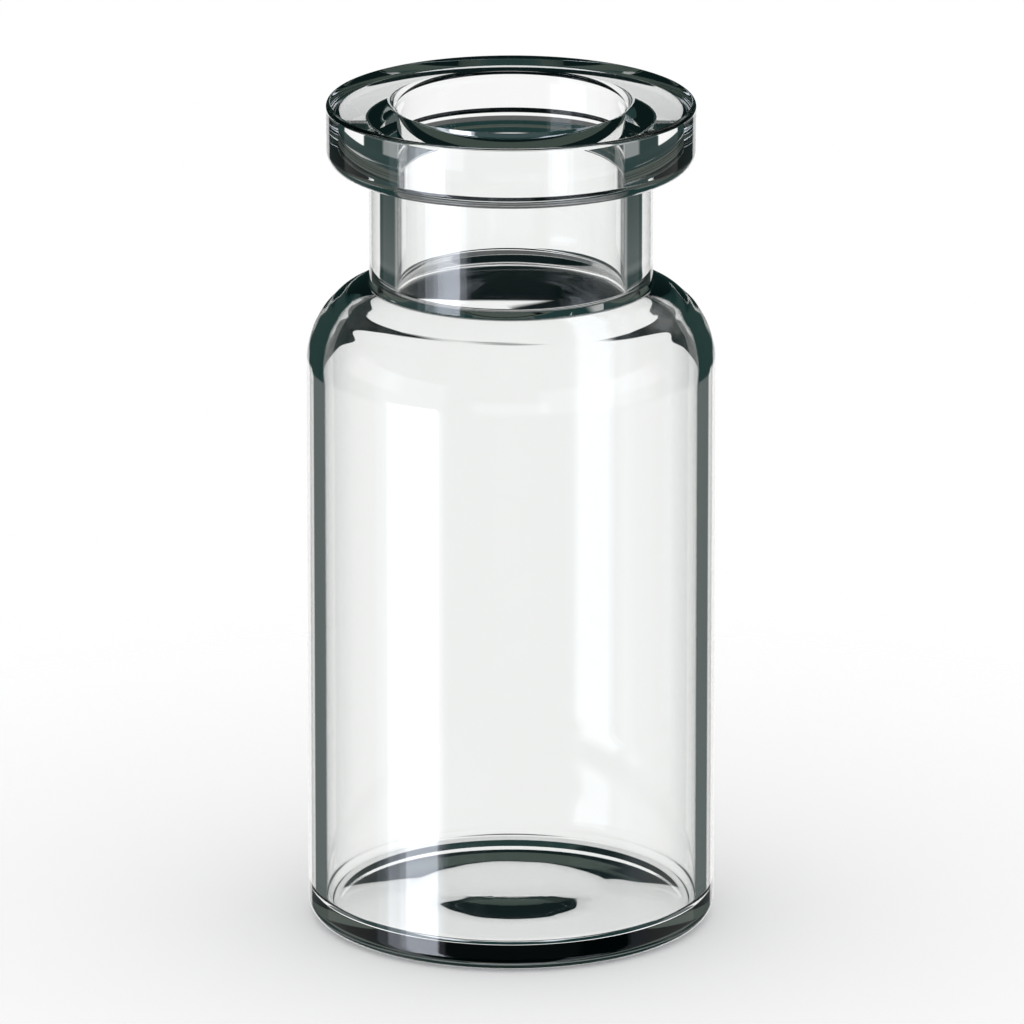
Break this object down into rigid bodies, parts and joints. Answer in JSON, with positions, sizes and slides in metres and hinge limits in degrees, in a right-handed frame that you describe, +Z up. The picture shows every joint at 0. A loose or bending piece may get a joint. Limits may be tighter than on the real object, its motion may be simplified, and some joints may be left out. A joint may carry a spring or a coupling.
{
  "type": "glass sample vial",
  "caption": "Clear tubing-glass sample vial with a round shoulder, short neck and crimp flange, open and empty, standing on a hollowed base.",
  "frame": {"origin": "centre of the foot, on the plane that the vial stands on", "axes": "+Z up along the vial's axis, out of the mouth; round about +Z, so +X and +Y are any two directions across"},
  "size_m": [0.022, 0.022, 0.0454],
  "materials": {
    "glass": "clear, fire-polished"
  },
  "bodies": {
    "root": {"vial": "glass"}
  },
  "joints": []
}
